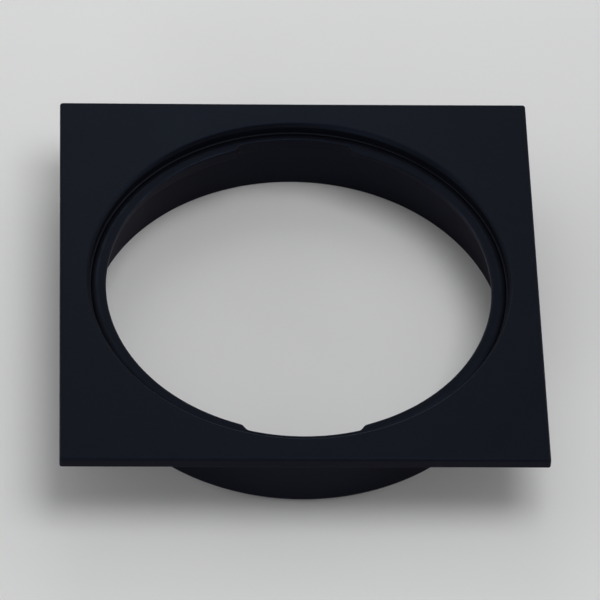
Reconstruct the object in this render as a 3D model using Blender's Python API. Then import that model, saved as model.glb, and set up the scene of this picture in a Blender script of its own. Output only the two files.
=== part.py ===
"""Square toilet flange: a floor plate over a pipe spigot, with a twist-lock ring between them.

The origin is on the bore's axis at the spigot's lower end. +Z is up and the units are metres.
The plate and the spigot are joined by a tongue and groove, and trap the ring's rim between them,
so that the ring can swivel until its two lug gaps line up with the part that twists into it.
"""
import math

import bmesh
import bpy
from mathutils import Vector

MM = 0.001
SEGMENTS = 120                     # steps round every turned piece
CORNER_SEGMENTS = 4                # steps round a slab's upright corners
EDGE_SEGMENTS = 2                  # steps across an eased edge
SHARP_ANGLE = math.radians(35)     # edges that turn further than this are shaded sharp

# Overall sizes
PLATE_SIDE = 120 * MM
PLATE_THICKNESS = 3 * MM
OVERALL_HEIGHT = 22 * MM
BORE_RADIUS = 52.6 * MM            # plate and spigot share one straight bore
SPIGOT_RADIUS = 55.2 * MM          # fits a DN110 socket
CLEARANCE = 0.3 * MM               # between pieces that touch or run on each other

# Face plate
PLATE_CORNER_RADIUS = 0.6 * MM
PLATE_EDGE_ROUND = 0.5 * MM
BORE_CHAMFER_WIDTH = 0.6 * MM
BORE_CHAMFER_HEIGHT = 1.1 * MM
GROOVE_DEPTH = 1.5 * MM
GROOVE_INNER_RADIUS = 54.0 * MM

# Twist-lock ring
LEDGE_RADIUS = 48.4 * MM           # inner edge of the two ledges
HOOP_INNER_RADIUS = 49.9 * MM      # wall seen in the lug gaps
HOOP_HEIGHT = 3.2 * MM
LEDGE_THICKNESS = 1.4 * MM         # where a lug slides in
STOP_THICKNESS = 3.0 * MM          # where the lug is wedged tight
LEDGE_END_CHAMFER = 1.4 * MM       # lead-in at both ends of a ledge
LEDGE_EDGE_ROUND = 0.5 * MM
SHELF_BEVEL_WIDTH = 1.1 * MM       # the shelf falls away towards its seal
SHELF_BEVEL_DROP = 0.45 * MM
GAP_HALF_ANGLE = math.radians(16.3)
STOP_ANGLE = math.radians(19.5)    # length of the thick stretch beside a gap
RAMP_ANGLE = math.radians(26)      # length of the cam that leads up to it
RIM_RADIUS = 54.0 * MM
RIM_THICKNESS = 1.3 * MM
RIM_DEPTH = 1.0 * MM               # rim top below the plate's underside

# Glide seal on the rim
SEAL_THICKNESS = 0.4 * MM
SEAL_NOSE_ROUND = SEAL_THICKNESS / 4
SEAL_INNER_RADIUS = 52.35 * MM     # stands a little inside the bore wall
SEAL_OUTER_RADIUS = 53.7 * MM

# Spigot
SPIGOT_END_CHAMFER = 1.0 * MM
SPIGOT_BORE_CHAMFER = 0.3 * MM

# Floor gasket
GASKET_INSET = 2.5 * MM
GASKET_THICKNESS = 2 * MM
GASKET_CORNER_RADIUS = 3 * MM
GASKET_HOLE_CLEARANCE = 0.4 * MM

# Heights that follow from them
UNDERSIDE = OVERALL_HEIGHT - PLATE_THICKNESS
RIM_TOP = UNDERSIDE - RIM_DEPTH
RIM_BOTTOM = RIM_TOP - RIM_THICKNESS
HOOP_BOTTOM = UNDERSIDE - HOOP_HEIGHT
HOOP_OUTER_RADIUS = BORE_RADIUS - CLEARANCE
SHELF_OUTER_RADIUS = SEAL_INNER_RADIUS - CLEARANCE
REBATE_RADIUS = RIM_RADIUS + CLEARANCE
REBATE_FLOOR = RIM_BOTTOM - CLEARANCE
TONGUE_TOP = UNDERSIDE + GROOVE_DEPTH - CLEARANCE
GROOVE_OUTER_RADIUS = SPIGOT_RADIUS + CLEARANCE

GAP_END = math.pi / 2 - GAP_HALF_ANGLE
LEDGE_SPAN = math.pi - 2 * GAP_HALF_ANGLE

# Finishes: each slot's base colour and roughness
FINISHES = {
    "plate_black": ((0.011, 0.012, 0.016), 0.50),
    "ring_black": ((0.010, 0.010, 0.014), 0.45),
    "spigot_black": ((0.010, 0.010, 0.014), 0.50),
    "seal_rubber": ((0.016, 0.016, 0.018), 0.50),
    "gasket_rubber": ((0.020, 0.020, 0.022), 0.75),
}

OVERCUT = 1 * MM                   # how far a cutter runs past the face it opens
TINY = 1e-6


def clear_scene():
    for item in list(bpy.data.objects):
        bpy.data.objects.remove(item, do_unlink=True)


def finish(name):
    colour, roughness = FINISHES[name]
    material = bpy.data.materials.new(name)
    material.use_nodes = True
    shader = material.node_tree.nodes["Principled BSDF"]
    shader.inputs["Base Color"].default_value = (*colour, 1.0)
    shader.inputs["Roughness"].default_value = roughness
    shader.inputs["Metallic"].default_value = 0.0
    return material


def add_object(name, bm, material=None):
    """Turn a bmesh into an object in the scene, with its faces pointing outwards."""
    bmesh.ops.recalc_face_normals(bm, faces=bm.faces)
    mesh = bpy.data.meshes.new(name)
    bm.to_mesh(mesh)
    bm.free()
    mesh.shade_smooth()
    mesh.set_sharp_from_angle(angle=SHARP_ANGLE)
    item = bpy.data.objects.new(name, mesh)
    bpy.context.scene.collection.objects.link(item)
    if material:
        mesh.materials.append(material)
    return item


def turned(profile, closed=True):
    """Spin a profile of (radius, height) points once round +Z, as a bmesh."""
    bm = bmesh.new()
    points = [bm.verts.new((radius, 0, height)) for radius, height in profile]
    edges = [bm.edges.new(pair) for pair in zip(points, points[1:])]
    if closed:
        edges.append(bm.edges.new((points[-1], points[0])))
    bmesh.ops.spin(bm, geom=points + edges, cent=(0, 0, 0), axis=(0, 0, 1),
                   angle=2 * math.pi, steps=SEGMENTS, use_merge=True)
    bmesh.ops.remove_doubles(bm, verts=bm.verts, dist=TINY)
    return bm


def square_slab(side, low, high, corner_radius):
    """A square slab centred on +Z with rounded upright corners, as a bmesh."""
    bm = bmesh.new()
    bmesh.ops.create_cube(bm, size=1)
    bmesh.ops.scale(bm, vec=(side, side, high - low), verts=bm.verts)
    bmesh.ops.translate(bm, vec=(0, 0, (low + high) / 2), verts=bm.verts)
    upright = [e for e in bm.edges if abs(e.verts[0].co.z - e.verts[1].co.z) > TINY]
    bmesh.ops.bevel(bm, geom=upright, offset=corner_radius, segments=CORNER_SEGMENTS,
                    profile=0.5, affect='EDGES')
    return bm


def cut(item, cutter_bm, name):
    """Subtract a closed shape from an object with a Boolean modifier."""
    cutter = add_object(name, cutter_bm)
    cutter.hide_render = True
    cutter.display_type = 'WIRE'
    modifier = item.modifiers.new(name, 'BOOLEAN')
    modifier.operation = 'DIFFERENCE'
    modifier.solver = 'EXACT'
    modifier.object = cutter


def polar(vert):
    """Radius and angle of a vertex about +Z."""
    return math.hypot(vert.co.x, vert.co.y), math.atan2(vert.co.y, vert.co.x)


def set_radius(vert, radius):
    """Slide a vertex in or out along its own radius."""
    angle = polar(vert)[1]
    vert.co.x = radius * math.cos(angle)
    vert.co.y = radius * math.sin(angle)


def make_face_plate(material):
    bm = square_slab(PLATE_SIDE, UNDERSIDE, OVERALL_HEIGHT, PLATE_CORNER_RADIUS)
    rims = [e for e in bm.edges if abs(e.verts[0].co.z - e.verts[1].co.z) < TINY]
    bmesh.ops.bevel(bm, geom=rims, offset=PLATE_EDGE_ROUND, segments=EDGE_SEGMENTS,
                    profile=0.5, affect='EDGES')
    plate = add_object("face_plate", bm, material)

    slope = BORE_CHAMFER_WIDTH / BORE_CHAMFER_HEIGHT
    bore = [
        (0, UNDERSIDE - OVERCUT),
        (BORE_RADIUS, UNDERSIDE - OVERCUT),
        (BORE_RADIUS, OVERALL_HEIGHT - BORE_CHAMFER_HEIGHT),
        (BORE_RADIUS + BORE_CHAMFER_WIDTH + slope * OVERCUT, OVERALL_HEIGHT + OVERCUT),
        (0, OVERALL_HEIGHT + OVERCUT),
    ]
    cut(plate, turned(bore, closed=False), "bore_cutter")

    groove = [
        (GROOVE_INNER_RADIUS, UNDERSIDE - OVERCUT),
        (GROOVE_OUTER_RADIUS, UNDERSIDE - OVERCUT),
        (GROOVE_OUTER_RADIUS, UNDERSIDE + GROOVE_DEPTH),
        (GROOVE_INNER_RADIUS, UNDERSIDE + GROOVE_DEPTH),
    ]
    cut(plate, turned(groove), "groove_cutter")


def angle_past_gap(angle):
    """Angle travelled clockwise from the last lug gap; the ring repeats every half turn."""
    return (GAP_END - angle) % math.pi


def ledge_underside(angle):
    """Height of a ledge's underside: thin at first, then a ramp down to the thick stop."""
    travelled = angle_past_gap(angle)
    ramp_start = LEDGE_SPAN - STOP_ANGLE - RAMP_ANGLE
    share = min(max((travelled - ramp_start) / RAMP_ANGLE, 0), 1)
    thickness = LEDGE_THICKNESS + share * (STOP_THICKNESS - LEDGE_THICKNESS)
    return UNDERSIDE - thickness


def ledge_radius(angle):
    """Inner radius of a ledge: its ends are chamfered back towards the hoop at 45 degrees."""
    travelled = angle_past_gap(angle)
    from_end = max(min(travelled, LEDGE_SPAN - travelled), 0) * LEDGE_RADIUS
    return LEDGE_RADIUS + max(LEDGE_END_CHAMFER - from_end, 0)


def ledge_cut_angles():
    """Angles where the ring needs edges: both ends of a ledge, its chamfers and its ramp."""
    chamfer = LEDGE_END_CHAMFER / LEDGE_RADIUS
    along = [0, chamfer, LEDGE_SPAN - STOP_ANGLE - RAMP_ANGLE, LEDGE_SPAN - STOP_ANGLE,
             LEDGE_SPAN - chamfer, LEDGE_SPAN]
    return [GAP_END - travelled for travelled in along]


def make_bayonet_ring(material):
    profile = [
        (HOOP_INNER_RADIUS, UNDERSIDE),
        (SHELF_OUTER_RADIUS - SHELF_BEVEL_WIDTH, UNDERSIDE),
        (SHELF_OUTER_RADIUS, UNDERSIDE - SHELF_BEVEL_DROP),
        (SHELF_OUTER_RADIUS, RIM_TOP),
        (RIM_RADIUS, RIM_TOP),
        (RIM_RADIUS, RIM_BOTTOM),
        (HOOP_OUTER_RADIUS, RIM_BOTTOM),
        (HOOP_OUTER_RADIUS, HOOP_BOTTOM),
        (HOOP_INNER_RADIUS, HOOP_BOTTOM),
        (HOOP_INNER_RADIUS, UNDERSIDE - LEDGE_THICKNESS),
    ]
    bm = turned(profile)

    for angle in ledge_cut_angles():
        across = Vector((-math.sin(angle), math.cos(angle), 0))
        bmesh.ops.bisect_plane(bm, geom=bm.verts[:] + bm.edges[:] + bm.faces[:],
                               plane_co=(0, 0, 0), plane_no=across, dist=TINY)

    # The band of the inner wall above this line of vertices is pulled in to make the ledges.
    for vert in bm.verts:
        radius, angle = polar(vert)
        on_wall = radius < HOOP_INNER_RADIUS + TINY
        if on_wall and abs(vert.co.z - (UNDERSIDE - LEDGE_THICKNESS)) < TINY:
            if angle_past_gap(angle) < LEDGE_SPAN + TINY:
                vert.co.z = ledge_underside(angle)

    def in_ledge(face):
        middle = face.calc_center_median()
        on_wall = math.hypot(middle.x, middle.y) < HOOP_INNER_RADIUS
        reaches_top = max(v.co.z for v in face.verts) > UNDERSIDE - TINY
        inside_arc = angle_past_gap(math.atan2(middle.y, middle.x)) < LEDGE_SPAN
        return on_wall and reaches_top and inside_arc

    band = [face for face in bm.faces if in_ledge(face)]
    grown = bmesh.ops.extrude_face_region(bm, geom=band)["geom"]
    bmesh.ops.delete(bm, geom=[f for f in band if f.is_valid], context='FACES_ONLY')
    pulled = [item for item in grown if isinstance(item, bmesh.types.BMVert)]
    for vert in pulled:
        set_radius(vert, ledge_radius(polar(vert)[1]))

    lip = [e for e in bm.edges
           if all(v in pulled and abs(v.co.z - UNDERSIDE) < TINY for v in e.verts)]
    bmesh.ops.bevel(bm, geom=lip, offset=LEDGE_EDGE_ROUND, segments=EDGE_SEGMENTS,
                    profile=0.5, affect='EDGES')
    add_object("bayonet_ring", bm, material)


def make_glide_seal(material):
    top = UNDERSIDE - CLEARANCE
    low = top - SEAL_THICKNESS
    profile = [
        (SEAL_OUTER_RADIUS, top),
        (SEAL_OUTER_RADIUS, low),
        (SEAL_INNER_RADIUS + SEAL_NOSE_ROUND, low),
        (SEAL_INNER_RADIUS, low + SEAL_NOSE_ROUND),
        (SEAL_INNER_RADIUS, top - SEAL_NOSE_ROUND),
        (SEAL_INNER_RADIUS + SEAL_NOSE_ROUND, top),
    ]
    add_object("glide_seal", turned(profile), material)


def make_spigot(material):
    profile = [
        (SPIGOT_RADIUS, TONGUE_TOP),
        (SPIGOT_RADIUS, SPIGOT_END_CHAMFER),
        (SPIGOT_RADIUS - SPIGOT_END_CHAMFER, 0),
        (BORE_RADIUS + SPIGOT_BORE_CHAMFER, 0),
        (BORE_RADIUS, SPIGOT_BORE_CHAMFER),
        (BORE_RADIUS, REBATE_FLOOR),
        (REBATE_RADIUS, REBATE_FLOOR),
        (REBATE_RADIUS, TONGUE_TOP),
    ]
    add_object("spigot", turned(profile), material)


def make_floor_gasket(material):
    top = UNDERSIDE - CLEARANCE
    low = top - GASKET_THICKNESS
    side = PLATE_SIDE - 2 * GASKET_INSET
    slab = square_slab(side, low, top, GASKET_CORNER_RADIUS)
    gasket = add_object("floor_gasket", slab, material)
    hole_radius = SPIGOT_RADIUS + GASKET_HOLE_CLEARANCE
    hole = [
        (0, low - OVERCUT),
        (hole_radius, low - OVERCUT),
        (hole_radius, top + OVERCUT),
        (0, top + OVERCUT),
    ]
    cut(gasket, turned(hole, closed=False), "gasket_hole_cutter")


def main():
    clear_scene()
    make_face_plate(finish("plate_black"))
    make_bayonet_ring(finish("ring_black"))
    make_glide_seal(finish("seal_rubber"))
    make_spigot(finish("spigot_black"))
    make_floor_gasket(finish("gasket_rubber"))


main()
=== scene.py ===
import math

import bmesh
import bpy
from mathutils import Matrix, Vector


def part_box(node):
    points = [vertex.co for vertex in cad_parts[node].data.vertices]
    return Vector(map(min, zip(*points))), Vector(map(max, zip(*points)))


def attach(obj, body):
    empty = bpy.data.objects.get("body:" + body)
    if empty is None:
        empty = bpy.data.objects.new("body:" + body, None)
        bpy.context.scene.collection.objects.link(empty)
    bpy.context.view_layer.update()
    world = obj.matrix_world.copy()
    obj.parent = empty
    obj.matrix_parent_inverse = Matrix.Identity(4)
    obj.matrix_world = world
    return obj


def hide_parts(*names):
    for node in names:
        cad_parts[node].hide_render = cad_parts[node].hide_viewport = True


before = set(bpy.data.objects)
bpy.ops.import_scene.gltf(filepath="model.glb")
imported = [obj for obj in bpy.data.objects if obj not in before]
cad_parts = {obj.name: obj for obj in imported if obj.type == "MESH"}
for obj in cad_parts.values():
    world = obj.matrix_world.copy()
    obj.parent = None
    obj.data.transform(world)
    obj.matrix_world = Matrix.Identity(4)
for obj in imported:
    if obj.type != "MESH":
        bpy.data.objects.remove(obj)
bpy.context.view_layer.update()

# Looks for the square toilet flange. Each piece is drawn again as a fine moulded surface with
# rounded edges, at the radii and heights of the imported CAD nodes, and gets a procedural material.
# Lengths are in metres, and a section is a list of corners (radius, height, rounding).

MM = 0.001
NEAR = 0.01 * MM                   # vertices this close are at the same height or radius


# ---------------------------------------------------------------- sizes read from the CAD nodes

def radii_and_heights(node):
    points = [vertex.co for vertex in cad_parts[node].data.vertices]
    return [(math.hypot(co.x, co.y), co.z) for co in points]


def radii_at(node, height):
    """Smallest and largest radius of a node's vertices at one height."""
    found = [r for r, z in radii_and_heights(node) if abs(z - height) < NEAR]
    return min(found), max(found)


def heights_at(node, radius):
    """Smallest and largest height of a node's vertices at one radius."""
    found = [z for r, z in radii_and_heights(node) if abs(r - radius) < NEAR]
    return min(found), max(found)


def extreme_radii(node):
    """Smallest and largest radius of all of a node's vertices."""
    radii = [r for r, z in radii_and_heights(node)]
    return min(radii), max(radii)


plate_low, plate_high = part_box("face_plate")
ring_low, ring_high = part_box("bayonet_ring")
spigot_low, spigot_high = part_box("spigot")
gasket_low, gasket_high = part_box("floor_gasket")

HALF_SIDE = plate_high.x
TOP = plate_high.z
UNDERSIDE = plate_low.z
FLARE_RADIUS = radii_at("face_plate", TOP)[0]
BORE_RADIUS = extreme_radii("face_plate")[0]
BORE_TOP = heights_at("face_plate", BORE_RADIUS)[1]

SPIGOT_BORE, SPIGOT_RADIUS = extreme_radii("spigot")
SPIGOT_END = spigot_low.z
SPIGOT_END_RADIUS = radii_at("spigot", SPIGOT_END)[1]
TONGUE_TOP = spigot_high.z
REBATE_RADIUS = radii_at("spigot", TONGUE_TOP)[0]
REBATE_FLOOR = heights_at("spigot", SPIGOT_BORE)[1]

SHELF = ring_high.z
HOOP_BOTTOM = ring_low.z
HOOP_INNER, HOOP_OUTER = radii_at("bayonet_ring", HOOP_BOTTOM)
LEDGE_RADIUS, RIM_RADIUS = extreme_radii("bayonet_ring")
LEDGE_DEPTH = HOOP_INNER - LEDGE_RADIUS
RIM_BOTTOM, RIM_TOP = heights_at("bayonet_ring", RIM_RADIUS)
SHOULDER_RADIUS = radii_at("bayonet_ring", RIM_TOP)[0]
SHOULDER_TOP = heights_at("bayonet_ring", SHOULDER_RADIUS)[1]
SHELF_RADIUS = radii_at("bayonet_ring", SHELF)[1]

SEAL_OUTER = extreme_radii("glide_seal")[1]
GASKET_HOLE = extreme_radii("floor_gasket")[0]

# Angles along the ledge on the +X side. The other ledge is half a turn away.
ledge = [vertex.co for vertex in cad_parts["bayonet_ring"].data.vertices
         if math.hypot(vertex.co.x, vertex.co.y) < HOOP_INNER - NEAR and vertex.co.x > 0]
GAP_END = max(math.atan2(co.y, co.x) for co in ledge)
LEDGE_SPAN = 2 * GAP_END
THICK_UNDERSIDE = min(co.z for co in ledge)
THIN_UNDERSIDE = min(co.z for co in ledge if co.y > 0)
RAMP_START = min(math.atan2(co.y, co.x) for co in ledge if abs(co.z - THIN_UNDERSIDE) < NEAR)
RAMP_END = max(math.atan2(co.y, co.x) for co in ledge if abs(co.z - THICK_UNDERSIDE) < NEAR)


# ---------------------------------------------------------------- surfaces

ROUND_STEPS = 5                    # segments in a rounded corner of a section
TURN_STEPS = 480                   # segments round the axis
CRISP = 0.10 * MM                  # rounding of inner and hidden corners
CORNER_STEPS = 20                  # closer angles on each side of a square's corner


def rounded(corners):
    """A closed section's (point, wear) pairs, each corner (radius, height, rounding) an arc.

    Wear is 1 in the middle of an arc that stands out and 0 elsewhere.
    """
    spots = [Vector((radius, height)) for radius, height, rounding in corners]
    roundings = [rounding for radius, height, rounding in corners]
    turning = sum(spot.cross(following) for spot, following in zip(spots, spots[1:] + spots[:1]))
    points = []
    for index, (corner, rounding) in enumerate(zip(spots, roundings)):
        before = (spots[index - 1] - corner).normalized()
        after = (spots[(index + 1) % len(spots)] - corner).normalized()
        start = corner + before * rounding
        end = corner + after * rounding
        weight = math.sqrt(max((1 - before.dot(after)) / 2, 0))
        stands_out = before.cross(after) * turning < 0
        for step in range(ROUND_STEPS + 1):
            share = step / ROUND_STEPS
            near, middle, far = (1 - share) ** 2, 2 * share * (1 - share) * weight, share ** 2
            spot = (start * near + corner * middle + end * far) / (near + middle + far)
            points.append((spot, math.sin(math.pi * share) if stands_out else 0))
    return points


def lofted(name, angles, section):
    """A closed ring through the section at each angle round +Z, as a smooth-shaded object."""
    bm = bmesh.new()
    worn = bm.verts.layers.float.new("edge_wear")
    rings = []
    for angle in angles:
        direction = Vector((math.cos(angle), math.sin(angle), 0))
        ring = []
        for (radius, height), wear in rounded(section(angle)):
            vertex = bm.verts.new(direction * radius + Vector((0, 0, height)))
            vertex[worn] = wear
            ring.append(vertex)
        rings.append(ring)
    for ring, following in zip(rings, rings[1:] + rings[:1]):
        for index in range(len(ring)):
            bm.faces.new((ring[index - 1], ring[index], following[index], following[index - 1]))
    bmesh.ops.recalc_face_normals(bm, faces=bm.faces)
    mesh = bpy.data.meshes.new(name)
    bm.to_mesh(mesh)
    bm.free()
    mesh.shade_smooth()
    piece = bpy.data.objects.new(name, mesh)
    bpy.context.scene.collection.objects.link(piece)
    normals = piece.modifiers.new("flat faces stay flat", 'WEIGHTED_NORMAL')
    normals.mode = 'FACE_AREA'
    return piece


def place(piece, body, node, slot, material):
    """Let a piece stand for its CAD node, on that node's body, in its finish."""
    piece.data.materials.append(material)
    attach(piece, body)
    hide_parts(node)


def even_angles():
    return [2 * math.pi * step / TURN_STEPS for step in range(TURN_STEPS)]


def angles_close_to(places, reach, steps):
    """The even angles plus a cluster of closer ones within reach of each place."""
    closer = [spot + reach * step / steps for spot in places for step in range(-steps, steps + 1)]
    every = sorted(angle % (2 * math.pi) for angle in even_angles() + closer)
    smallest = reach / steps / 4
    return [angle for angle, following in zip(every, every[1:] + [every[0] + 2 * math.pi])
            if following - angle > smallest]


def square_reach(angle, half_side, corner_radius):
    """Distance from the centre to the edge of a square with rounded corners, along an angle."""
    long, short = sorted((abs(math.cos(angle)), abs(math.sin(angle))), reverse=True)
    straight = half_side - corner_radius
    reach = half_side / long
    if reach * short <= straight:
        return reach
    along = straight * (long + short)
    return along + math.sqrt(along ** 2 - 2 * straight ** 2 + corner_radius ** 2)


def corner_angles(reach):
    """The even angles, closer together near the corners of a square."""
    corners = [math.pi / 4 + math.pi / 2 * quarter for quarter in range(4)]
    return angles_close_to(corners, reach, CORNER_STEPS)


# ---------------------------------------------------------------- face plate

PLATE_CORNER = 0.6 * MM            # radius of the square's upright corners
PLATE_CORNER_REACH = math.radians(1.0)    # half the stretch of closer angles there
PLATE_EDGE = 0.80 * MM             # rounding of the top face's outer edge
BORE_EDGE = 0.38 * MM              # rounding where the bore's chamfer meets the top face
GROOVE_CLEARANCE = 0.3 * MM        # round the spigot's tongue


def make_face_plate(material):
    """A square slab with a chamfered bore and a groove for the spigot's tongue."""
    groove_top = TONGUE_TOP + GROOVE_CLEARANCE
    groove_inner = REBATE_RADIUS - GROOVE_CLEARANCE
    groove_outer = SPIGOT_RADIUS + GROOVE_CLEARANCE

    def section(angle):
        edge = square_reach(angle, HALF_SIDE, PLATE_CORNER)
        return [
            (BORE_RADIUS, UNDERSIDE, 0.06 * MM),
            (BORE_RADIUS, BORE_TOP, 0.20 * MM),
            (FLARE_RADIUS, TOP, BORE_EDGE),
            (edge, TOP, PLATE_EDGE),
            (edge, UNDERSIDE, 0.3 * MM),
            (groove_outer, UNDERSIDE, CRISP),
            (groove_outer, groove_top, CRISP),
            (groove_inner, groove_top, CRISP),
            (groove_inner, UNDERSIDE, CRISP),
        ]

    plate = lofted("flange_face_plate", corner_angles(PLATE_CORNER_REACH), section)
    place(plate, "flange_body", "face_plate", "plate_black", material)


# ---------------------------------------------------------------- twist-lock ring

CHAMFER_EASE = 0.35 * MM           # softening where a ledge's end chamfers start and stop
RAMP_EASE = 0.08                   # share of the cam's length over which it eases in and out
LEDGE_LIP = 0.5 * MM               # rounding of a ledge's upper edge
SHELF_ROLL = 0.80 * MM             # rounding where the shelf starts to fall towards the seal
GAP_SPREAD = 0.3 * MM              # height between the underside's two edges in a lug gap
LEDGE_END_REACH = math.radians(2.4)    # half the stretch of closer angles at a ledge's end
LEDGE_END_STEPS = 24               # closer angles on each side of its middle


def soft_positive(value, ease):
    """value where it is positive and 0 where it is negative, with a softened bend between."""
    return (value + math.sqrt(value ** 2 + ease ** 2)) / 2


def ledge_travel(angle):
    """Angle travelled clockwise since the last lug gap."""
    return (GAP_END - angle) % math.pi


def ledge_depth(angle):
    """How far the wall stands in from the hoop: 0 in a gap, rising at 45 degrees to LEDGE_DEPTH."""
    travel = ledge_travel(angle)
    nearest_end = min(travel, LEDGE_SPAN - travel)
    if travel > (LEDGE_SPAN + math.pi) / 2:
        nearest_end = travel - math.pi
    rising = soft_positive(nearest_end * LEDGE_RADIUS, CHAMFER_EASE)
    return LEDGE_DEPTH - soft_positive(LEDGE_DEPTH - rising, CHAMFER_EASE)


def ledge_underside(angle):
    """Height of a ledge's underside: thin, then an eased cam down to the thick stop."""
    travel = ledge_travel(angle)
    ramp_start, ramp_end = GAP_END - RAMP_START, GAP_END - RAMP_END
    share = (travel - ramp_start) / (ramp_end - ramp_start)
    if travel > LEDGE_SPAN:
        share = (math.pi - travel) / (math.pi - LEDGE_SPAN)
    share = 1 - soft_positive(1 - soft_positive(share, RAMP_EASE), RAMP_EASE)
    return THIN_UNDERSIDE + share * (THICK_UNDERSIDE - THIN_UNDERSIDE)


def make_bayonet_ring(material):
    """A hoop with two ledges, a shelf above them and a rim that the spigot traps."""
    def section(angle):
        depth = max(ledge_depth(angle), 0)
        underside = ledge_underside(angle)
        spread = GAP_SPREAD * (1 - min(depth / LEDGE_DEPTH, 1))
        return [
            (HOOP_INNER, HOOP_BOTTOM, 0.06 * MM),
            (HOOP_INNER, underside, CRISP),
            (HOOP_INNER - depth, underside + spread, 0.15 * MM),
            (HOOP_INNER - depth, SHELF, LEDGE_LIP - spread),
            (SHELF_RADIUS, SHELF, SHELF_ROLL),
            (SHOULDER_RADIUS, SHOULDER_TOP, 0.20 * MM),
            (SHOULDER_RADIUS, RIM_TOP, 0.15 * MM),
            (RIM_RADIUS, RIM_TOP, 0.20 * MM),
            (RIM_RADIUS, RIM_BOTTOM, 0.20 * MM),
            (HOOP_OUTER, RIM_BOTTOM, 0.15 * MM),
            (HOOP_OUTER, HOOP_BOTTOM, 0.30 * MM),
        ]

    chamfer_middle = LEDGE_DEPTH / 2 / LEDGE_RADIUS
    ends = [half + side * (GAP_END - chamfer_middle)
            for half in (0, math.pi) for side in (1, -1)]
    angles = angles_close_to(ends, LEDGE_END_REACH, LEDGE_END_STEPS)
    ring = lofted("twist_lock_ring", angles, section)
    place(ring, "swivel_ring", "bayonet_ring", "ring_black", material)


# ---------------------------------------------------------------- seal, spigot and gasket

SEAL_TOUCH = 0.03 * MM             # air left where soft pieces lie against hard ones
SEAL_GAP = 0.10 * MM               # between the seal's nose and the ring that turns beside it
GASKET_CORNER = 3 * MM             # radius of the sheet's upright corners
GASKET_CORNER_REACH = math.radians(3.0)    # half the stretch of closer angles there


def make_glide_seal(material):
    """A flat rubber ring over the ring's rim, with a softly rounded nose in the bore."""
    top = UNDERSIDE - SEAL_TOUCH
    low = RIM_TOP + SEAL_TOUCH
    nose = SHOULDER_RADIUS + SEAL_GAP
    section = [
        (nose, low, 0.12 * MM),
        (nose, top, 0.25 * MM),
        (SEAL_OUTER, top, CRISP),
        (SEAL_OUTER, low, CRISP),
    ]
    seal = lofted("ring_glide_seal", even_angles(), lambda angle: section)
    place(seal, "flange_body", "glide_seal", "seal_rubber", material)


def make_spigot(material):
    """A plain tube with a rebate for the ring's rim and a tongue round it."""
    chamfer = SPIGOT_RADIUS - SPIGOT_END_RADIUS
    section = [
        (SPIGOT_BORE, SPIGOT_END, 0.35 * MM),
        (SPIGOT_BORE, REBATE_FLOOR, 0.15 * MM),
        (REBATE_RADIUS, REBATE_FLOOR, CRISP),
        (REBATE_RADIUS, TONGUE_TOP, CRISP),
        (SPIGOT_RADIUS, TONGUE_TOP, CRISP),
        (SPIGOT_RADIUS, SPIGOT_END + chamfer, 0.45 * MM),
        (SPIGOT_END_RADIUS, SPIGOT_END, 0.35 * MM),
    ]
    spigot = lofted("pipe_spigot", even_angles(), lambda angle: section)
    place(spigot, "flange_body", "spigot", "spigot_black", material)


def make_floor_gasket(material):
    """A square sheet round the spigot, under the plate."""
    top = UNDERSIDE - SEAL_TOUCH
    low = gasket_low.z

    def section(angle):
        edge = square_reach(angle, gasket_high.x, GASKET_CORNER)
        return [
            (GASKET_HOLE, low, CRISP),
            (GASKET_HOLE, top, CRISP),
            (edge, top, 0.15 * MM),
            (edge, low, 0.15 * MM),
        ]

    gasket = lofted("floor_gasket_sheet", corner_angles(GASKET_CORNER_REACH), section)
    place(gasket, "flange_body", "floor_gasket", "gasket_rubber", material)


# ---------------------------------------------------------------- materials

NOISE_LOW, NOISE_HIGH = 0.3, 0.7   # most of a noise lies between these

# Gloss is a Principled BSDF's specular level, where 0.5 is a plain dielectric.
PLATE_GLOSS = 0.102
RING_GLOSS, RING_ROUGHNESS = 0.083, 0.46
SPIGOT_GLOSS, SPIGOT_ROUGHNESS = 0.13, 0.54
WORN_GLOSS = 1.9                   # gloss on a satin piece's worn edges, times its own
WORN_ROUGHNESS = 0.13              # taken off a satin piece's roughness there
SEAL_GLOSS = 0.11
GASKET_GLOSS = 0.35
RING_BLACK, SPIGOT_BLACK = 0.0034, 0.0036
SHEEN_TINT = (0.50, 0.66, 1.0, 1)  # the plastic's reflections look slightly blue
SEAL_TINT = (0.58, 0.68, 1, 1)
GASKET_TINT = (0.9, 0.92, 1, 1)
FLOOR_DARK = (0.87, 0.785, 0.72, 1)
FLOOR_PALE = (0.91, 0.825, 0.755, 1)
FLOOR_IN_REFLECTIONS = (0.82, 0.70, 0.72, 1)   # painted reflection: a darker, pinker floor that only glossy rays see, so the plastic reflects it dimmer
FLOOR_ROUGHNESS = 0.85
CLOTH_SCALE = 320.0                # puts the threads of the cloth print about 1 mm apart


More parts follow.
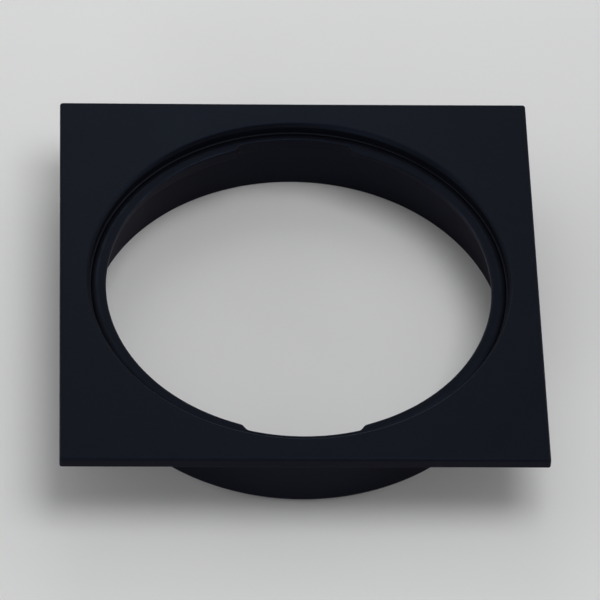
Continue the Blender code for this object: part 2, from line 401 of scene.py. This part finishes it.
class Shader:
    """A material's node tree, with short ways to add and join its nodes."""

    def __init__(self, name):
        self.material = bpy.data.materials.new(name)
        self.material.use_nodes = True
        self.tree = self.material.node_tree
        self.surface = self.tree.nodes["Principled BSDF"]
        self.place = self.add('ShaderNodeTexCoord').outputs["Object"]

    def add(self, kind, inputs=None, **settings):
        node = self.tree.nodes.new(kind)
        for setting, value in settings.items():
            setattr(node, setting, value)
        for name, value in (inputs or {}).items():
            self.feed(node.inputs[name], value)
        return node

    def feed(self, socket, value):
        if isinstance(value, bpy.types.NodeSocket):
            self.tree.links.new(value, socket)
        else:
            socket.default_value = value

    def stretched(self, scale, shift=(0, 0, 0), place=None):
        """A place shifted and stretched along the axes."""
        mapping = self.add('ShaderNodeMapping', {"Vector": place or self.place,
                                                 "Location": shift, "Scale": scale})
        return mapping.outputs["Vector"]

    def turned(self, angle, bend, size):
        """The place turned about +Z, and bent this far to and fro over patches of one size."""
        turn = self.add('ShaderNodeVectorRotate', {"Vector": self.place, "Angle": angle},
                        rotation_type='Z_AXIS')
        waves = self.add('ShaderNodeTexNoise', {"Vector": self.place, "Scale": 1 / size})
        bent = self.add('ShaderNodeVectorMath', operation='MULTIPLY_ADD')
        self.feed(bent.inputs[0], waves.outputs["Color"])
        self.feed(bent.inputs[1], (bend, bend, bend))
        self.feed(bent.inputs[2], turn.outputs["Vector"])
        return bent.outputs["Vector"]

    def noise(self, size, detail=2.0, place=None):
        """Soft random values about 0.5 whose patches are about one size across."""
        node = self.add('ShaderNodeTexNoise', {"Vector": place or self.place, "Scale": 1 / size,
                                               "Detail": detail, "Roughness": 0.55})
        return node.outputs["Fac"]

    def cells(self, size, place=None):
        """Distance to the nearest of scattered points, for pits and pores."""
        node = self.add('ShaderNodeTexVoronoi', {"Vector": place or self.place,
                                                 "Scale": 1 / size})
        return node.outputs["Distance"]

    def ranged(self, value, low, high, to_low, to_high):
        """value between low and high moved to the range between to_low and to_high."""
        node = self.add('ShaderNodeMapRange', {"Value": value, "From Min": low, "From Max": high,
                                               "To Min": to_low, "To Max": to_high})
        return node.outputs["Result"]

    def spread(self, noise, to_low, to_high):
        """The usual values of a noise moved to the range between to_low and to_high."""
        return self.ranged(noise, NOISE_LOW, NOISE_HIGH, to_low, to_high)

    def maths(self, operation, first, second=0.0):
        node = self.add('ShaderNodeMath', operation=operation)
        self.feed(node.inputs[0], first)
        self.feed(node.inputs[1], second)
        return node.outputs[0]

    def mixed(self, share, first, second):
        """A colour between two colours."""
        node = self.add('ShaderNodeMix', data_type='RGBA')
        self.feed(node.inputs["Factor"], share)
        self.feed(node.inputs["A"], first)
        self.feed(node.inputs["B"], second)
        return node.outputs["Result"]

    def edges(self, patch):
        """Up to 1 on the rounded edges that stand out, uneven over patches of one size."""
        worn = self.add('ShaderNodeAttribute', attribute_name="edge_wear").outputs["Fac"]
        return self.maths('MULTIPLY', worn, self.ranged(self.noise(patch, 3.0), 0.3, 0.6, 0.4, 1))

    def bumps(self, layers):
        """Stack bump layers, each a (height value, height in metres) pair."""
        normal = None
        for height, distance in layers:
            node = self.add('ShaderNodeBump', {"Height": height, "Distance": distance,
                                               "Strength": 1.0})
            if normal:
                self.feed(node.inputs["Normal"], normal)
            normal = node.outputs["Normal"]
        self.feed(self.surface.inputs["Normal"], normal)

    def finish(self, colour, roughness, gloss, tint):
        self.feed(self.surface.inputs["Base Color"], colour)
        self.feed(self.surface.inputs["Roughness"], roughness)
        self.feed(self.surface.inputs["Specular IOR Level"], gloss)
        self.feed(self.surface.inputs["Specular Tint"], tint)
        return self.material


def grey(value, blue=1.5):
    """A dark neutral with a blue cast, as a colour."""
    return (value * 1.1, value * (1 + (blue - 1) * 0.1), value * blue, 1)


def scuffs(shader, length, width, turn):
    """Sparse, slightly bent hairline marks along one direction: 1 on a mark and 0 elsewhere."""
    place = shader.turned(turn, bend=3 * MM, size=15 * MM)
    place = shader.stretched((1 / length, 1 / width, 1 / width), place=place)
    lines = shader.add('ShaderNodeTexNoise', {"Vector": place, "Scale": 1.0, "Detail": 1.0})
    return shader.ranged(lines.outputs["Fac"], 0.70, 0.80, 0, 1)


def grained_plastic():
    """The plate: fine spark-eroded grain, faint scuffs, and edges rubbed a little glossier."""
    shader = Shader("plate grained black plastic")
    grain = shader.noise(0.22 * MM, 3.0)
    pits = shader.cells(0.45 * MM)
    peel = shader.noise(1.6 * MM, 2.0)
    patches = shader.noise(14 * MM, 3.0)
    marks = shader.maths('MAXIMUM', scuffs(shader, length=9 * MM, width=0.18 * MM, turn=0.6),
                         scuffs(shader, length=6 * MM, width=0.15 * MM, turn=2.2))
    wear = shader.edges(5 * MM)
    rough = shader.spread(patches, 0.45, 0.53)
    rough = shader.maths('ADD', rough, shader.ranged(grain, 0.35, 0.65, -0.03, 0.03))
    rough = shader.maths('SUBTRACT', rough, shader.maths('MULTIPLY', wear, 0.04))
    colour = shader.mixed(shader.spread(patches, 0, 1), grey(0.0026), grey(0.0036))
    colour = shader.mixed(shader.maths('MULTIPLY', pits, 0.5), colour, grey(0.0055))
    colour = shader.mixed(shader.maths('MULTIPLY', marks, 0.6), colour, grey(0.0120))
    colour = shader.mixed(shader.maths('MULTIPLY', wear, 0.5), colour, grey(0.0080))
    shader.bumps([(shader.noise(6 * MM, 2.0), 0.020 * MM), (peel, 0.010 * MM),
                  (grain, 0.009 * MM), (pits, 0.006 * MM), (marks, -0.003 * MM)])
    return shader.finish(colour, rough, PLATE_GLOSS, SHEEN_TINT)


def satin_plastic(name, seed_shift, base, roughness, gloss):
    """Smooth moulding with faint flow lines round the axis and edges polished by use."""
    shader = Shader(name)
    shifted = shader.stretched((1, 1, 1), shift=(seed_shift, 0, 0))
    fine = shader.noise(0.12 * MM, 2.0, shifted)
    patches = shader.noise(9 * MM, 3.0, shifted)
    peel = shader.noise(1.2 * MM, 2.0, shifted)
    flow = shader.noise(1.0, 2.0, shader.stretched((60, 60, 1800)))
    wear = shader.edges(4 * MM)
    rough = shader.spread(patches, roughness - 0.035, roughness + 0.035)
    rough = shader.maths('SUBTRACT', rough, shader.maths('MULTIPLY', wear, WORN_ROUGHNESS))
    sheen = shader.ranged(wear, 0, 1, gloss, gloss * WORN_GLOSS)
    colour = shader.mixed(shader.spread(patches, 0, 1), grey(base), grey(base * 1.3))
    colour = shader.mixed(shader.maths('MULTIPLY', wear, 0.5), colour, grey(base * 2))
    shader.bumps([(flow, 0.006 * MM), (peel, 0.006 * MM), (fine, 0.0015 * MM)])
    return shader.finish(colour, rough, sheen, SHEEN_TINT)


def seal_rubber():
    """Smooth moulded rubber with a soft bloom."""
    shader = Shader("seal rubber")
    bloom = shader.noise(3 * MM, 4.0)
    skin = shader.noise(0.10 * MM, 3.0)
    rough = shader.spread(bloom, 0.42, 0.55)
    colour = shader.mixed(bloom, grey(0.004, 1.2), grey(0.007, 1.2))
    shader.bumps([(skin, 0.0020 * MM)])
    return shader.finish(colour, rough, SEAL_GLOSS, SEAL_TINT)


def sheet_rubber():
    """Matt calendered sheet with a faint cloth print and a dusting of talc."""
    shader = Shader("gasket sheet rubber")
    talc = shader.noise(8 * MM, 6.0)
    speck = shader.noise(0.3 * MM, 2.0)
    threads = [shader.add('ShaderNodeTexWave', {"Vector": shader.place, "Scale": CLOTH_SCALE,
                                                "Distortion": 0.6, "Detail": 1.0},
                          bands_direction=direction).outputs["Fac"] for direction in "XY"]
    print_height = shader.maths('MULTIPLY', *threads)
    dust = shader.ranged(shader.maths('MULTIPLY', talc, speck), 0.22, 0.45, 0, 1)
    colour = shader.mixed(dust, grey(0.010, 1.1), grey(0.030, 1.05))
    rough = shader.ranged(dust, 0, 1, 0.62, 0.8)
    shader.bumps([(print_height, 0.02 * MM), (speck, 0.006 * MM)])
    return shader.finish(colour, rough, GASKET_GLOSS, GASKET_TINT)


def studio_paper():
    """Pale matt floor with a very faint mottle, shown darker and pinker to glossy rays as a painted
    reflection. Its back is clear, for views from below.
    """
    shader = Shader("studio floor")
    ray = shader.add('ShaderNodeLightPath').outputs
    mottle = shader.noise(250 * MM, 3.0)
    tooth = shader.noise(0.8 * MM, 2.0)
    colour = shader.mixed(shader.spread(mottle, 0, 1), FLOOR_DARK, FLOOR_PALE)
    # painted reflection: glossy rays see a darker, pinker floor than the camera does
    colour = shader.mixed(ray["Is Glossy Ray"], colour, FLOOR_IN_REFLECTIONS)
    shader.bumps([(tooth, 0.01 * MM)])
    shader.finish(colour, FLOOR_ROUGHNESS, 0.0, (1, 1, 1, 1))
    side = shader.add('ShaderNodeNewGeometry').outputs["Backfacing"]
    clear = shader.add('ShaderNodeBsdfTransparent').outputs["BSDF"]
    mix = shader.add('ShaderNodeMixShader')
    shader.feed(mix.inputs[0], shader.maths('MULTIPLY', side, ray["Is Camera Ray"]))
    shader.feed(mix.inputs[1], shader.surface.outputs["BSDF"])
    shader.feed(mix.inputs[2], clear)
    output = shader.tree.nodes["Material Output"]
    shader.feed(output.inputs["Surface"], mix.outputs[0])
    return shader.material


# ---------------------------------------------------------------- studio

CENTRE = Vector((0, 0, TOP))       # of the plate's top face
SIDE = 2 * HALF_SIDE
FLOOR_HALF_WIDTH = 6.0
FLOOR_CELLS = 8
FLOOR_GAP = 0.05 * MM              # between the floor and the spigot's end

LAMP_COLOUR = (0.82, 0.91, 1.0)
TENT_FRONT, TENT_REAR = 0.19, 0.315    # strength of the light tent
FRONT_Y, REAR_Y = -0.75, 0.15          # of the directions between which it changes
BACKDROP = (0.62, 0.62, 0.62, 1)       # grey that the camera sees beyond the floor

# Soft rectangular lamps aimed at the plate: name, azimuth and elevation in degrees, distance,
# width, height, and power in watts.
SOFTBOXES = [
    ("rear softbox", -176, 34, 0.36, 0.22, 0.22, 0.22),
    ("front softbox", -30, 13, 1.1, 0.60, 0.30, 3.1),
    ("left softbox", -100, 14, 1.0, 0.60, 0.36, 2.4),
    ("right softbox", 96, 14, 0.9, 0.50, 0.30, 2.1),
    ("overhead softbox", 70, 75, 1.0, 0.6, 0.6, 4.2),
]

CAMERA_AZIMUTH = math.radians(-3.85)
CAMERA_ELEVATION = math.radians(48.21)
CAMERA_ROLL = math.radians(3.08)
CAMERA_DISTANCE = 11.707 * SIDE
CAMERA_RIGHT, CAMERA_UP = 0.0014 * SIDE, -0.0494 * SIDE    # shift off the plate's centre
SENSOR_WIDTH, FOCAL_LENGTH = 36, 336.4                     # millimetres
CLIP_NEAR, CLIP_FAR = 0.05, 30


def make_floor():
    bm = bmesh.new()
    bmesh.ops.create_grid(bm, x_segments=FLOOR_CELLS, y_segments=FLOOR_CELLS,
                          size=FLOOR_HALF_WIDTH)
    mesh = bpy.data.meshes.new("studio_floor")
    bm.to_mesh(mesh)
    bm.free()
    floor = bpy.data.objects.new("studio_floor", mesh)
    floor.location.z = SPIGOT_END - FLOOR_GAP
    floor.data.materials.append(studio_paper())
    bpy.context.scene.collection.objects.link(floor)


def light_world():
    """A light tent, brighter behind the part than in front, and plain pale to the camera."""
    world = bpy.data.worlds.new("studio tent")
    world.use_nodes = True
    tree = world.node_tree
    tent = tree.nodes["Background"]
    tent.inputs["Color"].default_value = (*LAMP_COLOUR, 1)
    direction = tree.nodes.new('ShaderNodeTexCoord')
    split = tree.nodes.new('ShaderNodeSeparateXYZ')
    tree.links.new(direction.outputs["Generated"], split.inputs["Vector"])
    blend = tree.nodes.new('ShaderNodeMapRange')
    blend.interpolation_type = 'SMOOTHSTEP'
    tree.links.new(split.outputs["Y"], blend.inputs["Value"])
    blend.inputs["From Min"].default_value = FRONT_Y
    blend.inputs["From Max"].default_value = REAR_Y
    blend.inputs["To Min"].default_value = TENT_FRONT
    blend.inputs["To Max"].default_value = TENT_REAR
    tree.links.new(blend.outputs["Result"], tent.inputs["Strength"])
    plain = tree.nodes.new('ShaderNodeBackground')
    plain.inputs["Color"].default_value = BACKDROP
    path = tree.nodes.new('ShaderNodeLightPath')
    mix = tree.nodes.new('ShaderNodeMixShader')
    tree.links.new(path.outputs["Is Camera Ray"], mix.inputs[0])
    tree.links.new(tent.outputs["Background"], mix.inputs[1])
    tree.links.new(plain.outputs["Background"], mix.inputs[2])
    tree.links.new(mix.outputs["Shader"], tree.nodes["World Output"].inputs["Surface"])
    bpy.context.scene.world = world


def towards(azimuth, elevation):
    """Direction out from the plate's centre. Azimuth 0 is in front and 90 degrees right."""
    return Vector((math.sin(azimuth) * math.cos(elevation),
                   -math.cos(azimuth) * math.cos(elevation), math.sin(elevation)))


def add_softbox(name, azimuth, elevation, distance, width, height, power):
    lamp = bpy.data.lights.new(name, 'AREA')
    lamp.shape = 'RECTANGLE'
    lamp.size = width
    lamp.size_y = height
    lamp.energy = power
    lamp.color = LAMP_COLOUR
    out = towards(math.radians(azimuth), math.radians(elevation))
    box = bpy.data.objects.new(name, lamp)
    box.location = CENTRE + out * distance
    box.rotation_mode = 'QUATERNION'
    box.rotation_quaternion = out.to_track_quat('Z', 'Y')
    box.visible_camera = False
    bpy.context.scene.collection.objects.link(box)


def make_camera():
    """A long lens above the front edge, rolled and aimed a little below the plate's centre."""
    back = towards(CAMERA_AZIMUTH, CAMERA_ELEVATION)
    level = Vector((0, 0, 1)).cross(back).normalized()
    upright = back.cross(level)
    right = math.cos(CAMERA_ROLL) * level + math.sin(CAMERA_ROLL) * upright
    up = math.cos(CAMERA_ROLL) * upright - math.sin(CAMERA_ROLL) * level
    lens = bpy.data.cameras.new("studio camera")
    lens.sensor_width = SENSOR_WIDTH
    lens.lens = FOCAL_LENGTH
    lens.clip_start = CLIP_NEAR
    lens.clip_end = CLIP_FAR
    camera = bpy.data.objects.new("studio camera", lens)
    camera.location = (CENTRE + right * CAMERA_RIGHT + up * CAMERA_UP
                       + back * CAMERA_DISTANCE)
    camera.rotation_mode = 'QUATERNION'
    camera.rotation_quaternion = Matrix((right, up, back)).transposed().to_quaternion()
    bpy.context.scene.collection.objects.link(camera)
    bpy.context.scene.camera = camera


def make_studio():
    make_floor()
    light_world()
    for settings in SOFTBOXES:
        add_softbox(*settings)
    make_camera()
    bpy.context.scene.view_settings.view_transform = 'Standard'
    bpy.context.scene.view_settings.look = 'None'


# ---------------------------------------------------------------- build

make_face_plate(grained_plastic())
make_bayonet_ring(satin_plastic("ring satin black plastic", 0.0, RING_BLACK,
                                RING_ROUGHNESS, RING_GLOSS))
make_glide_seal(seal_rubber())
make_spigot(satin_plastic("spigot satin black plastic", 0.5, SPIGOT_BLACK,
                          SPIGOT_ROUGHNESS, SPIGOT_GLOSS))
make_floor_gasket(sheet_rubber())
make_studio()
